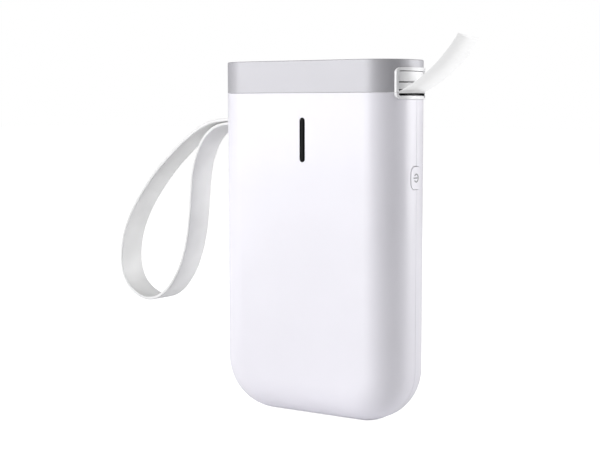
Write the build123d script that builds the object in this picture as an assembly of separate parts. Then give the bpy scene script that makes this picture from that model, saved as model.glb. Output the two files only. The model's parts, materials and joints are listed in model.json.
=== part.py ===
from build123d import *
import math
import os

# Pocket thermal label printer: a two-part white body, a grey flip-up lid that carries
# the platen roller, a roll of labels, a geared paper drive, a sprung print head, a
# battery with its board, and a wrist strap.  Millimetres, X to the right, Y to the
# back, Z up, with the origin at the middle of the face that the body stands on.

os.makedirs("parts", exist_ok=True)

# ---- case -------------------------------------------------------------------
BODY_WIDTH = 78.0
BODY_DEPTH = 28.5
BODY_HEIGHT = 129.3
LID_HEIGHT = 11.45
CORNER_RADIUS = 19.3
EDGE_RADIUS = 12.5
WALL = 1.8
SEAM_GAP = 0.12
PARTING_Y = 0.35
PARTING_GAP = 0.15
LIP_DEPTH = 1.5
TOP_EDGE = 0.4

# ---- clearances --------------------------------------------------------------
SEAT = 0.1
PIN_FIT = 0.04

# ---- label roll and strip ----------------------------------------------------
LABEL_WIDTH = 15.0
LABEL_THICKNESS = 0.15
ROLL_RADIUS = 18.5
CORE_RADIUS = 6.5
CORE_WALL = 1.0
ROLL_X = -11.0
ROLL_Z = 93.0
BAY_CLEARANCE = 1.5
BAY_WALL = 1.0

# ---- print line ---------------------------------------------------------------
PLATEN_RADIUS = 4.0
PLATEN_X = 25.5
PLATEN_SHAFT_RADIUS = 1.0
GUIDE_ROD_RADIUS = 1.5
GUIDE_ROD_X = 20.5
STRIP_RISE = 0.3
PAPER_GAP = 0.075
TEAR_TEETH = 13
DECK_THICKNESS = 1.5

# ---- paper drive ----------------------------------------------------------------
MODULE = 0.5
PLATEN_TEETH = 14
IDLER_TEETH = 24
SMALL_TEETH = 12
LARGE_TEETH = 30
GEAR_WIDTH = 1.2
MOTOR_RADIUS = 7.5

# ---- outlet at the right end -----------------------------------------------------
OUTLET_DEPTH = 17.5
OUTLET_BOTTOM = 116.7
OUTLET_TOP = 125.35
OUTLET_CORNER = 0.6
BEZEL_WIDTH = 1.15
BEZEL_PROUD = 0.6
BEZEL_LEDGE = 0.6
BLOCK_BOTTOM = 121.65
BLOCK_TOP = 125.15
BLOCK_EDGE = 0.35
GUIDE_BOTTOM = 119.05
GUIDE_TOP = 121.2
BUTTON_TRAVEL = 1.2

# ---- controls on the body ----------------------------------------------------------
POWER_BUTTON_WIDTH = 7.0
POWER_BUTTON_HEIGHT = 8.4
POWER_BUTTON_CORNER = 2.4
POWER_BUTTON_Z = 88.05
POWER_TRAVEL = 0.5
POWER_RIM = 0.2
INDICATOR_WIDTH = 2.3
INDICATOR_HEIGHT = 15.9
INDICATOR_X = 0.5
INDICATOR_Z = 101.15
INDICATOR_DOME = 2.4
USB_WIDTH = 8.94
USB_THICKNESS = 3.2
USB_DEPTH = 7.3
USB_Z = 40.0

# ---- wrist strap --------------------------------------------------------------------
STRAP_WIDTH = 12.0
STRAP_THICKNESS = 1.2
STRAP_SLOT_Z = 107.4
STRAP_SLOT_HEIGHT = 3.4
# Distance out from the left wall, and height, of each turn of the strap.
STRAP_ROUTE = [
    (-2.4, 108.1), (4.6, 108.1), (12, 106.2), (19.8, 101.6), (27.6, 95.4), (35.6, 88.3),
    (42.8, 80.2), (48.9, 71.8), (53.3, 62.8), (55, 53.4), (54, 45.8), (49.8, 39.9),
    (41.4, 36.2), (32.9, 39.2), (26.4, 46.8), (22.4, 55.4), (20, 65.0), (18.8, 76.4),
    (17.9, 87.2), (15.6, 95.3), (11.4, 102.2), (4.6, 106.7), (-2.4, 106.7),
]

# ---- battery, boards, lid hinge and screws --------------------------------------------
BATTERY_WIDTH = 50.0
BATTERY_HEIGHT = 34.0
BATTERY_THICKNESS = 8.0
BATTERY_Z = 22.0
TAPE_THICKNESS = 1.0
BOARD_LEFT = -33.0
BOARD_RIGHT = 31.0
BOARD_BOTTOM = 20.0
BOARD_TOP = 66.0
BOARD_THICKNESS = 1.2
HINGE_PIN_RADIUS = 0.5
HINGE_KNUCKLE_RADIUS = 1.3
HINGE_OUTSET = 0.1
HINGE_LID_HALF = 1.5
HINGE_HALF = 3.3
SCREW_RADIUS = 1.0
SCREW_HEAD_RADIUS = 1.9
SCREW_HEAD_HEIGHT = 1.3
BOSS_RADIUS = 2.3

# ---- places that follow from the sizes above --------------------------------------------
SEAM_Z = BODY_HEIGHT - LID_HEIGHT
BODY_TOP = SEAM_Z - SEAM_GAP / 2
LID_BOTTOM = SEAM_Z + SEAM_GAP / 2
HALF_W = BODY_WIDTH / 2
HALF_D = BODY_DEPTH / 2
DECK_TOP = SEAM_Z - STRIP_RISE
DECK_BOTTOM = DECK_TOP - DECK_THICKNESS
STRIP_Z = SEAM_Z
BAY_HALF = LABEL_WIDTH / 2 + 0.4
PLATE_INNER = BAY_HALF + 0.2
PLATE_OUTER = BAY_HALF + BAY_WALL
HEAD_HALF = PLATE_INNER - 0.4
MOTOR_LENGTH = 2 * PLATE_INNER - 2.2
PLATEN_Z = STRIP_Z + LABEL_THICKNESS / 2 + PAPER_GAP + PLATEN_RADIUS
HEAD_TOP = STRIP_Z - LABEL_THICKNESS / 2 - PAPER_GAP
GUIDE_ROD_Z = STRIP_Z - LABEL_THICKNESS / 2 - 0.1 - GUIDE_ROD_RADIUS
ROLL_TOP_RADIUS = ROLL_RADIUS + LABEL_THICKNESS
HINGE_X = -HALF_W - HINGE_OUTSET
BOARD_FRONT = USB_THICKNESS / 2 + 0.1
BATTERY_FRONT = -HALF_D + WALL + TAPE_THICKNESS
BATTERY_BACK = BATTERY_FRONT + BATTERY_THICKNESS
BATTERY_TOP = BATTERY_Z + BATTERY_HEIGHT


# ---- shapes that repeat ------------------------------------------------------------------
def block(x0, x1, y0, y1, z0, z1):
    """Box between two corners."""
    return Pos((x0 + x1) / 2, (y0 + y1) / 2, (z0 + z1) / 2) * Box(x1 - x0, y1 - y0, z1 - z0)


def rod_y(x, z, radius, y0, y1):
    """Round bar along the depth."""
    return Pos(x, (y0 + y1) / 2, z) * Rot(90, 0, 0) * Cylinder(radius, y1 - y0)


def rod_x(y, z, radius, x0, x1):
    """Round bar along the width."""
    return Pos((x0 + x1) / 2, y, z) * Rot(0, 90, 0) * Cylinder(radius, x1 - x0)


def rod_z(x, y, radius, z0, z1):
    """Round bar along the height."""
    return Pos(x, y, (z0 + z1) / 2) * Cylinder(radius, z1 - z0)


def plate(outline, y0, y1):
    """Flat plate: an outline in X and Z, from depth y0 to depth y1."""
    return Pos(0, y1, 0) * extrude(Plane.XZ * outline, y1 - y0)


def outline_of(points):
    """Closed straight-sided outline."""
    return make_face(Polyline(*points, close=True))


def slab(inset, z_bottom, z_top):
    """The case's own outer form moved inwards by inset, up to z_top."""
    half_w = HALF_W - inset
    half_d = HALF_D - inset
    face = Pos(0, (inset + z_top) / 2) * Rectangle(2 * half_w, z_top - inset)
    face = fillet(face.vertices().group_by(Axis.Y)[0], CORNER_RADIUS - inset)
    solid = extrude(Plane.XZ * face, half_d, both=True)
    rims = solid.faces().sort_by(Axis.Y)
    edges = [
        edge
        for rim in (rims[0], rims[-1])
        for edge in rim.edges()
        if edge.center().Z < z_top - 0.01
    ]
    solid = fillet(edges, EDGE_RADIUS - inset)
    if z_bottom > inset:
        solid -= block(-HALF_W - 5, HALF_W + 5, -HALF_D - 5, HALF_D + 5, -5, z_bottom)
    return solid


def pill_x(y, z, width, height, x0, x1):
    """Pill-shaped bar along X, taller than wide."""
    return Pos(x0, y, z) * extrude(Plane.YZ * Rot(0, 0, 90) * SlotOverall(height, width), x1 - x0)


def key_x(grow, x0, x1):
    """The power button's rounded outline along X, grown on every side."""
    width = POWER_BUTTON_WIDTH + 2 * grow
    height = POWER_BUTTON_HEIGHT + 2 * grow
    face = RectangleRounded(width, height, POWER_BUTTON_CORNER + grow)
    return Pos(x0, 0, POWER_BUTTON_Z) * extrude(Plane.YZ * face, x1 - x0)


def pill_y(x, z, width, height, y0, y1):
    """Pill-shaped bar along Y, taller than wide."""
    return plate(Pos(x, z) * Rot(0, 0, 90) * SlotOverall(height, width), y0, y1)


def gear(teeth, phase_deg, bore_radius, y0, y1, x, z, shave=0.06):
    """Spur gear with stub teeth on an axis along Y; a tooth centre stands at phase_deg."""
    pitch_radius = MODULE * teeth / 2
    tip = pitch_radius + 0.8 * MODULE
    root = pitch_radius - MODULE
    half_tooth = (math.pi * MODULE / 2 - shave) / (2 * pitch_radius)
    slope = 0.8 * MODULE * math.tan(math.radians(20)) / pitch_radius
    points = []
    for tooth in range(teeth):
        middle = math.radians(phase_deg) + 2 * math.pi * tooth / teeth
        for radius, spread in (
            (root, -half_tooth - slope),
            (tip, -half_tooth + slope),
            (tip, half_tooth - slope),
            (root, half_tooth + slope),
        ):
            angle = middle + spread
            points.append((x + radius * math.cos(angle), z + radius * math.sin(angle)))
    wheel = plate(outline_of(points), y0, y1)
    if bore_radius > 0:
        wheel -= rod_y(x, z, bore_radius, y0 - 1, y1 + 1)
    return wheel


def meshed_phase(phase_a, teeth_a, teeth_b, line_deg):
    """Phase of gear B, at line_deg from gear A, so that its gap meets A's tooth."""
    return line_deg + 180 + 180 / teeth_b - (phase_a - line_deg) * teeth_a / teeth_b


def coil_spring(radius, wire, length, turns):
    """Compression spring standing on the origin along Z."""
    helix = Helix(pitch=(length - wire) / turns, height=length - wire, radius=radius)
    section = Plane(origin=helix @ 0, z_dir=helix % 0) * Circle(wire / 2)
    return Pos(0, 0, wire / 2) * sweep(section, path=helix)


def screw(length):
    """Pan-head screw: the head's top at the origin, pointing down."""
    head = Pos(0, 0, -SCREW_HEAD_HEIGHT / 2) * Cylinder(SCREW_HEAD_RADIUS, SCREW_HEAD_HEIGHT)
    shank = Pos(0, 0, -SCREW_HEAD_HEIGHT - length / 2) * Cylinder(SCREW_RADIUS, length)
    cross = Box(2.0, 0.5, 1.2) + Box(0.5, 2.0, 1.2)
    return head + shank - cross


def save(name, shape):
    """Write one piece, or one group of identical pieces, as its own file."""
    export_step(shape, f"parts/{name}.step")


# ---- paper path --------------------------------------------------------------------------
roll_track = ROLL_RADIUS + PAPER_GAP + LABEL_THICKNESS / 2
rod_track = GUIDE_ROD_RADIUS + 0.1 + LABEL_THICKNESS / 2
to_rod_x = GUIDE_ROD_X - ROLL_X
to_rod_z = GUIDE_ROD_Z - ROLL_Z
STRIP_ANGLE = math.atan2(to_rod_z, to_rod_x) + math.asin(
    (roll_track + rod_track) / math.hypot(to_rod_x, to_rod_z)
)
ALONG_X = math.cos(STRIP_ANGLE)
ALONG_Z = math.sin(STRIP_ANGLE)
CURL_START_X = HALF_W - 4.6
CURL_RADIUS = 10.1
CURL_DEG = 27.4
TAIL_RADIUS = 52.5
TAIL_DEG = 29.4


def strip_edge(shift):
    """One side of the label strip, shifted to the left of its way out, in X and Z."""
    start = (ROLL_X + (roll_track - shift) * ALONG_Z, ROLL_Z - (roll_track - shift) * ALONG_X)
    end = (GUIDE_ROD_X - (rod_track + shift) * ALONG_Z, GUIDE_ROD_Z + (rod_track + shift) * ALONG_X)
    climb = Line(start, end)
    over = JernArc(climb @ 1, climb % 1, rod_track + shift, -math.degrees(STRIP_ANGLE))
    flat = Line(over @ 1, (CURL_START_X, (over @ 1).Y))
    curl = JernArc(flat @ 1, flat % 1, CURL_RADIUS - shift, CURL_DEG)
    tail = JernArc(curl @ 1, curl % 1, TAIL_RADIUS - shift, TAIL_DEG)
    return [climb, over, flat, curl, tail]


def label_strip():
    """The end of the label web, from the roll, over the rod and out through the slot."""
    upper = strip_edge(LABEL_THICKNESS / 2)
    lower = strip_edge(-LABEL_THICKNESS / 2)
    ends = [Line(upper[0] @ 0, lower[0] @ 0), Line(upper[-1] @ 1, lower[-1] @ 1)]
    face = make_face(upper + lower + ends)
    return plate(face, -LABEL_WIDTH / 2, LABEL_WIDTH / 2)


def label_roll():
    outer = rod_y(ROLL_X, ROLL_Z, ROLL_RADIUS, -LABEL_WIDTH / 2, LABEL_WIDTH / 2)
    return outer - rod_y(ROLL_X, ROLL_Z, CORE_RADIUS, -LABEL_WIDTH, LABEL_WIDTH)


def roll_core():
    outer = rod_y(ROLL_X, ROLL_Z, CORE_RADIUS, -LABEL_WIDTH / 2, LABEL_WIDTH / 2)
    return outer - rod_y(ROLL_X, ROLL_Z, CORE_RADIUS - CORE_WALL, -LABEL_WIDTH, LABEL_WIDTH)


# ---- places of the outlet, drive and screws ---------------------------------------------
DRIVE_IN = (-PLATE_OUTER - 0.2 - GEAR_WIDTH, -PLATE_OUTER - 0.2)
DRIVE_OUT = (DRIVE_IN[0] - 0.2 - GEAR_WIDTH, DRIVE_IN[0] - 0.2)
IDLER_LINE = -105.0
COMPOUND_LINE = -80.0
MOTOR_LINE = -105.0


def stepped(x, z, distance, line_deg):
    """Point at a distance and angle from another, in X and Z."""
    line = math.radians(line_deg)
    return x + distance * math.cos(line), z + distance * math.sin(line)


IDLER_X, IDLER_Z = stepped(PLATEN_X, PLATEN_Z, MODULE * (PLATEN_TEETH + IDLER_TEETH) / 2, IDLER_LINE)
COMPOUND_X, COMPOUND_Z = stepped(IDLER_X, IDLER_Z, MODULE * (IDLER_TEETH + SMALL_TEETH) / 2, COMPOUND_LINE)
MOTOR_X, MOTOR_Z = stepped(COMPOUND_X, COMPOUND_Z, MODULE * (LARGE_TEETH + SMALL_TEETH) / 2, MOTOR_LINE)
POST_RADIUS = 0.75
POST_END = DRIVE_OUT[0] - 0.3

PIVOT_X = PLATEN_X + 4.3
PIVOT_Z = HEAD_TOP - 5.4
PIVOT_RADIUS = 0.8
HEAD_LEFT = GUIDE_ROD_X + GUIDE_ROD_RADIUS + 0.6
HEAD_RIGHT = PLATEN_X + 5.1
HEAD_PLATE_BOTTOM = HEAD_TOP - 2.4
WEB_TOP = HEAD_PLATE_BOTTOM - 6.4
WEB_THICKNESS = 1.2
SPRING_X = PLATEN_X - 0.5

CATCH_LEFT = PLATEN_X + PLATEN_RADIUS + 0.3 + BUTTON_TRAVEL
CATCH_RIGHT = CATCH_LEFT + 1.6
CATCH_EDGE = CATCH_RIGHT + 0.2
CATCH_NOSE = CATCH_EDGE + 0.8
OPENING_LEFT = GUIDE_ROD_X - GUIDE_ROD_RADIUS - 1.5
OPENING_HALF = PLATE_OUTER + 0.2

FLEX_LEFT = GUIDE_ROD_X - 1.0
FLEX_RIGHT = FLEX_LEFT + 6.0
FLEX_Y = PLATE_INNER - 1.1
SPRING_Y = FLEX_Y - 2.5

ANCHOR_LEFT = -HALF_W - STRAP_ROUTE[0][0]
ANCHOR_RIGHT = ANCHOR_LEFT + 2.6
ANCHOR_HALF = STRAP_WIDTH / 2 + 0.9
ANCHOR_HEIGHT = STRAP_SLOT_HEIGHT + 1.5

CASE_SCREWS = [(-17.0, 14.0), (17.0, 14.0), (-25.0, 71.0), (13.0, 71.0)]
BOARD_SCREWS = [(-28.0, 26.0), (28.7, 26.0), (-28.0, 61.0), (28.7, 61.0)]
FRAME_SCREWS = [(28.3, 104.5), (28.6, 88.0)]
DECK_SCREW_X = 34.6
DECK_SCREW_Y = 4.0
LID_SCREWS = [(-30.0, 8.0), (-30.0, -8.0), (12.0, 10.0), (12.0, -10.0)]
LID_TOP_WALL = 2.0
TRAY_TOP = BODY_HEIGHT - LID_TOP_WALL - 0.3
TRAY_BOTTOM = TRAY_TOP - 1.5
BOARD_BACK = BOARD_FRONT + BOARD_THICKNESS
RELEASE_SPRING_LEFT = PLATEN_X - 0.3
RELEASE_SPRING_Y = 10.0
LED_BOARD_FRONT = -HALF_D + WALL + 1.2
LED_POSTS = (INDICATOR_Z - INDICATOR_HEIGHT / 2 - 3, INDICATOR_Z + INDICATOR_HEIGHT / 2 + 3)
SCREW_HEAD_Y = HALF_D - 1.2
SWITCH_TIP = HALF_W - 4.6
LEAD_X = -18.0
LEAD_Z = BATTERY_TOP + 4.5


def outlet_bar(grow, x0, x1):
    """The outlet's rounded rectangle along X, grown on every side."""
    width = OUTLET_DEPTH + 2 * grow
    height = OUTLET_TOP - OUTLET_BOTTOM + 2 * grow
    face = RectangleRounded(width, height, OUTLET_CORNER + grow)
    return Pos(x0, 0, (OUTLET_TOP + OUTLET_BOTTOM) / 2) * extrude(Plane.YZ * face, x1 - x0)


def outlet_ring():
    """Frame that stands proud of the case, with a lower ledge around the opening."""
    proud = slab(-BEZEL_PROUD, 0, BODY_HEIGHT) - outlet_bar(BEZEL_LEDGE, 0, HALF_W + 5)
    skin = (proud + slab(-BEZEL_PROUD / 3, 0, BODY_HEIGHT)) - slab(WALL, 0, BODY_HEIGHT)
    bar = outlet_bar(BEZEL_WIDTH, DECK_SCREW_X - 2, HALF_W + 2)
    return skin & (bar - outlet_bar(0, 0, HALF_W + 5))


def outside_z(z0, z1):
    """Everything between two heights."""
    return block(-HALF_W - 9, HALF_W + 9, -HALF_D - 9, HALF_D + 9, z0, z1)


# ---- body shells ---------------------------------------------------------------------------
def body_tub():
    return slab(0, 0, BODY_TOP) - slab(WALL, 0, BODY_TOP + 5)


def inner_rim(clearance):
    """Inner half of the wall's thickness, where the two shells lap."""
    return slab(WALL / 2 + clearance, 0, BODY_TOP) - slab(WALL, 0, BODY_TOP + 5)


def anchor_pocket():
    """Walls that hold the strap's end behind its slot."""
    half = ANCHOR_HALF + 0.4
    low = STRAP_SLOT_Z - ANCHOR_HEIGHT / 2 - 0.1
    high = STRAP_SLOT_Z + ANCHOR_HEIGHT / 2 + 0.1
    walls = block(-HALF_W, ANCHOR_RIGHT + 1.3, -half - 1.2, half + 1.2, low - 1.1, high + 1.1)
    hollow = block(-HALF_W - 1, ANCHOR_RIGHT + 0.1, -half, half, low, high)
    ledges = Part()
    for side in (-1, 1):
        ledges += rod_z(-DECK_SCREW_X, side * DECK_SCREW_Y, BOSS_RADIUS - 0.4, high + 0.5, DECK_BOTTOM)
    return (walls - hollow) + ledges


def body_additions(side):
    """Bosses, posts and ledges of one shell: side -1 is the front and 1 the back."""
    added = anchor_pocket()
    added += block(
        DECK_SCREW_X - 1.8, HALF_W, side * DECK_SCREW_Y - 1.9, side * DECK_SCREW_Y + 1.9,
        DECK_BOTTOM - 7, DECK_BOTTOM,
    )
    for x, z in CASE_SCREWS:
        added += rod_y(x, z, BOSS_RADIUS, min(0, side * HALF_D), max(0, side * HALF_D))
    if side > 0:
        for x, z in BOARD_SCREWS:
            added += rod_y(x, z, BOSS_RADIUS - 0.4, BOARD_BACK, HALF_D)
        for x, z in FRAME_SCREWS:
            added += rod_y(x, z, BOSS_RADIUS - 0.4, PLATE_OUTER, HALF_D)
    else:
        for z in LED_POSTS:
            added += rod_y(INDICATOR_X, z, 1.2, -HALF_D, LED_BOARD_FRONT)
    hinge = rod_y(
        HINGE_X, SEAM_Z, HINGE_KNUCKLE_RADIUS,
        min(side * (HINGE_LID_HALF + 0.15), side * HINGE_HALF),
        max(side * (HINGE_LID_HALF + 0.15), side * HINGE_HALF),
    )
    return (added & slab(WALL / 2, 0, BODY_TOP)) + hinge


def body_openings():
    """Holes that both shells share."""
    slot_half = STRAP_WIDTH / 2 + 0.4
    low = STRAP_SLOT_Z - STRAP_SLOT_HEIGHT / 2
    high = STRAP_SLOT_Z + STRAP_SLOT_HEIGHT / 2
    cuts = block(-HALF_W - 5, ANCHOR_LEFT + 1.5, -slot_half, slot_half, low, high)
    cuts += key_x(0, HALF_W - 4, HALF_W + 5)
    cuts += pill_x(
        0, USB_Z, USB_THICKNESS + 2 * SEAT, USB_WIDTH + 2 * SEAT, -HALF_W - 5, -HALF_W + 4
    )
    cuts += outlet_bar(BEZEL_WIDTH + 0.05, DECK_SCREW_X - 3, HALF_W + 5) - slab(WALL, 0, BODY_HEIGHT)
    cuts += outlet_bar(BEZEL_WIDTH + 0.05, HALF_W - WALL - 3.0, HALF_W + 5)
    cuts += rod_y(HINGE_X, SEAM_Z, HINGE_KNUCKLE_RADIUS + 0.2, -HINGE_LID_HALF - 0.15, HINGE_LID_HALF + 0.15)
    cuts += rod_y(HINGE_X, SEAM_Z, HINGE_PIN_RADIUS, -HINGE_HALF, HINGE_HALF)
    for side in (-1, 1):
        for x in (-DECK_SCREW_X, DECK_SCREW_X):
            cuts += rod_z(x, side * DECK_SCREW_Y, SCREW_RADIUS, DECK_BOTTOM - 4.5, DECK_BOTTOM + 1)
    return cuts


def front_shell():
    """Front half of the body: bosses take the screws' threads."""
    half = block(-HALF_W - 5, HALF_W + 5, -HALF_D - 5, PARTING_Y - PARTING_GAP / 2, -5, BODY_HEIGHT)
    rebate = inner_rim(0) & block(-HALF_W, HALF_W, -LIP_DEPTH - 0.1, 1, 0, BODY_TOP)
    shell = ((body_tub() + body_additions(-1)) & half) - rebate
    shell -= body_openings()
    shell -= pill_y(INDICATOR_X, INDICATOR_Z, INDICATOR_WIDTH, INDICATOR_HEIGHT, -HALF_D - 1, -HALF_D + 4)
    for x, z in CASE_SCREWS:
        shell -= rod_y(x, z, SCREW_RADIUS, -HALF_D + WALL + 1.0, 1)
    return shell


def back_shell():
    """Back half of the body: its lip fits inside the front shell's rebate."""
    half = block(-HALF_W - 5, HALF_W + 5, PARTING_Y + PARTING_GAP / 2, HALF_D + 5, -5, BODY_HEIGHT)
    lip = inner_rim(0.05) & block(-HALF_W, HALF_W, -LIP_DEPTH, WALL, 0, BODY_TOP)
    shell = ((body_tub() + body_additions(1)) & half) + lip
    shell -= body_openings()
    for x, z in CASE_SCREWS:
        shell -= rod_y(x, z, SCREW_RADIUS + 0.1, -1, HALF_D + 1)
        shell -= rod_y(x, z, SCREW_HEAD_RADIUS + 0.15, SCREW_HEAD_Y - SCREW_HEAD_HEIGHT, HALF_D + 1)
    for x, z in BOARD_SCREWS:
        shell -= rod_y(x, z, SCREW_RADIUS, BOARD_BACK - 1, BOARD_BACK + 6)
    for x, z in FRAME_SCREWS:
        shell -= rod_y(x, z, SCREW_RADIUS, PLATE_OUTER - 1, HALF_D - WALL)
    return shell


def outlet_lip():
    return outlet_ring() & outside_z(0, BODY_TOP)


def tear_bar():
    """Serrated strip across the slot, under the label."""
    bar = slab(-BEZEL_PROUD / 2, 0, BODY_HEIGHT) - slab(WALL - 0.05, 0, BODY_HEIGHT)
    bar &= outlet_bar(-0.05, DECK_SCREW_X - 3, HALF_W + 2) & outside_z(0, DECK_TOP)
    pitch = (OUTLET_DEPTH - 3.0) / (TEAR_TEETH - 1)
    for index in range(TEAR_TEETH):
        y = (index - (TEAR_TEETH - 1) / 2) * pitch
        edge_x = HALF_W + BEZEL_PROUD / 2
        bar -= Pos(edge_x, y, DECK_TOP) * Rot(0, 0, 45) * Box(0.5, 0.5, 0.5)
    return bar


# ---- label bay ---------------------------------------------------------------------------
def bay_outline(radius, rise_to, z_top, x_right):
    """Cradle around the roll with a right wall that leans along the strip."""
    touch = (ROLL_X + radius * ALONG_Z, ROLL_Z - radius * ALONG_X)
    lean = (rise_to - touch[1]) / ALONG_Z
    top = (touch[0] + lean * ALONG_X, rise_to)
    low = (ROLL_X - radius * math.sin(math.pi / 4), ROLL_Z - radius * math.cos(math.pi / 4))
    start = (ROLL_X - radius, ROLL_Z)
    arc = ThreePointArc(start, low, touch)
    edges = [arc, Line(touch, top)]
    corner = top
    for point in ((x_right, rise_to), (x_right, z_top), (ROLL_X - radius, z_top), start):
        if math.dist(corner, point) > 0.01:
            edges.append(Line(corner, point))
            corner = point
    return make_face(edges)


def label_bay():
    """Deck over the body's top with the cradle for the roll hanging from it."""
    inner = ROLL_RADIUS + BAY_CLEARANCE
    outer = inner + BAY_WALL
    cradle_top = DECK_BOTTOM - 4.0
    tub = plate(bay_outline(outer, cradle_top, DECK_BOTTOM + 0.5, OPENING_LEFT - 0.4), -PLATE_OUTER, PLATE_OUTER)
    hollow = plate(bay_outline(inner, cradle_top + 2, SEAM_Z + 5, OPENING_LEFT + 2), -BAY_HALF, BAY_HALF)
    deck = slab(WALL + SEAT, DECK_BOTTOM, DECK_TOP)
    edge_half = HALF_D
    drive_slot = block(
        OPENING_LEFT - 2.2, PLATEN_X + 5.0, -edge_half, -PLATE_OUTER - 0.15, DECK_BOTTOM - 1, DECK_TOP + 1
    )
    opening = block(
        OPENING_LEFT - 0.3, CATCH_EDGE, -OPENING_HALF, OPENING_HALF, DECK_BOTTOM - 4.5, DECK_TOP + 1
    )
    window = block(
        DECK_SCREW_X - 1.2, DECK_SCREW_X + 1.3, -1.7, 1.7, DECK_BOTTOM - 1, DECK_TOP + 1
    )
    bay = deck + tub - hollow - drive_slot - opening - window
    for side in (-1, 1):
        for x in (-DECK_SCREW_X, DECK_SCREW_X):
            bay -= rod_z(x, side * DECK_SCREW_Y, SCREW_RADIUS + 0.1, DECK_BOTTOM - 1, DECK_TOP + 1)
            bay -= rod_z(x, side * DECK_SCREW_Y, 1.75, DECK_TOP - 0.8, DECK_TOP + 1)
    return bay


def gap_sensor():
    """Optical sensor under the strip that finds the gap between labels."""
    body = block(
        DECK_SCREW_X - 1.1, DECK_SCREW_X + 1.2, -1.6, 1.6, DECK_BOTTOM - 2, DECK_TOP
    )
    return body - rod_z(DECK_SCREW_X, 0, 0.5, DECK_TOP - 0.4, DECK_TOP + 1)


def deck_screws():
    group = Part()
    for side in (-1, 1):
        for x in (-DECK_SCREW_X, DECK_SCREW_X):
            head = rod_z(x, side * DECK_SCREW_Y, 1.65, DECK_TOP - 0.8, DECK_TOP - 0.05)
            shank = rod_z(x, side * DECK_SCREW_Y, SCREW_RADIUS, DECK_TOP - 5, DECK_TOP - 0.8)
            cross = Pos(x, side * DECK_SCREW_Y, DECK_TOP) * (Box(2, 0.4, 0.9) + Box(0.4, 2, 0.9))
            group += head + shank - cross
    return group


# ---- mechanism frame, head and drive --------------------------------------------------------
def frame_plate_outline():
    shift = ROLL_RADIUS + BAY_CLEARANCE + BAY_WALL + 0.4
    foot_z = MOTOR_Z - 9.0
    base = (ROLL_X + shift * ALONG_Z, ROLL_Z - shift * ALONG_X)

    def lean_x(z):
        return base[0] + (z - base[1]) * ALONG_X / ALONG_Z

    step_z = DECK_BOTTOM - 3.4
    low_top = HEAD_PLATE_BOTTOM - 1.2
    return outline_of([
        (lean_x(foot_z) + 2, foot_z), (HEAD_RIGHT + 0.4, foot_z), (HEAD_RIGHT + 0.4, low_top),
        (HEAD_RIGHT - 1.2, low_top), (HEAD_RIGHT - 1.2, DECK_TOP - 0.2),
        (OPENING_LEFT, DECK_TOP - 0.2), (OPENING_LEFT, step_z),
        (lean_x(step_z), step_z), (lean_x(foot_z + 5), foot_z + 5),
    ])


def mechanism_frame():
    """Two side plates joined by a cross web, with posts for the gears."""
    outline = frame_plate_outline()
    frame = plate(outline, -PLATE_OUTER, -PLATE_INNER) + plate(outline, PLATE_INNER, PLATE_OUTER)
    web = block(
        GUIDE_ROD_X, HEAD_RIGHT, -PLATE_INNER, PLATE_INNER, WEB_TOP - WEB_THICKNESS, WEB_TOP
    )
    web -= block(FLEX_LEFT - 1, FLEX_RIGHT + 0.5, FLEX_Y - 0.5, PLATE_INNER, WEB_TOP - 5, WEB_TOP + 1)
    frame += web
    frame += rod_y(COMPOUND_X, COMPOUND_Z, POST_RADIUS, POST_END, -PLATE_OUTER)
    frame += rod_y(IDLER_X, IDLER_Z, POST_RADIUS, POST_END, -PLATE_OUTER)
    frame += rod_y(IDLER_X, IDLER_Z, POST_RADIUS + 0.2, DRIVE_OUT[1] + 0.1, -PLATE_OUTER)
    frame -= rod_y(GUIDE_ROD_X, GUIDE_ROD_Z, GUIDE_ROD_RADIUS, -HALF_D, HALF_D)
    frame -= rod_y(PIVOT_X, PIVOT_Z, PIVOT_RADIUS, -HALF_D, HALF_D)
    frame -= rod_y(MOTOR_X, MOTOR_Z, 1.5, -PLATE_OUTER - 1, -PLATE_INNER + 1)
    for x, z in FRAME_SCREWS:
        frame -= rod_y(x, z, SCREW_RADIUS + 0.1, PLATE_INNER - 1, PLATE_OUTER + 1)
    return frame


def gear_clips():
    """Retaining clips on the two gear posts."""
    group = Part()
    for x, z in ((COMPOUND_X, COMPOUND_Z), (IDLER_X, IDLER_Z)):
        ring = rod_y(x, z, 1.5, POST_END, DRIVE_OUT[0] - 0.05) - rod_y(x, z, POST_RADIUS, -HALF_D, 0)
        group += ring - block(x - 0.4, x + 0.4, -HALF_D, 0, z - 3, z)
    return group


def guide_rod():
    return rod_y(GUIDE_ROD_X, GUIDE_ROD_Z, GUIDE_ROD_RADIUS, -PLATE_OUTER, PLATE_OUTER)


def print_head():
    """Aluminium carrier with its pivot lugs."""
    carrier = block(HEAD_LEFT, HEAD_RIGHT - 0.2, -HEAD_HALF, HEAD_HALF, HEAD_PLATE_BOTTOM, HEAD_TOP - 0.6)
    lug_outline = outline_of([
        (PIVOT_X - 1.5, HEAD_PLATE_BOTTOM + 0.3), (PIVOT_X - 1.5, PIVOT_Z - 1.2),
        (PIVOT_X - 0.4, PIVOT_Z - 1.8), (PIVOT_X + 0.6, PIVOT_Z - 1.8),
        (PIVOT_X + 1.2, PIVOT_Z - 1.2), (PIVOT_X + 0.6, HEAD_PLATE_BOTTOM + 0.3),
    ])
    for side in (-1, 1):
        carrier += plate(lug_outline, side * (HEAD_HALF - 1) - 1, side * (HEAD_HALF - 1) + 1)
    carrier -= rod_y(PIVOT_X, PIVOT_Z, PIVOT_RADIUS + PIN_FIT, -HALF_D, HALF_D)
    return carrier


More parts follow.
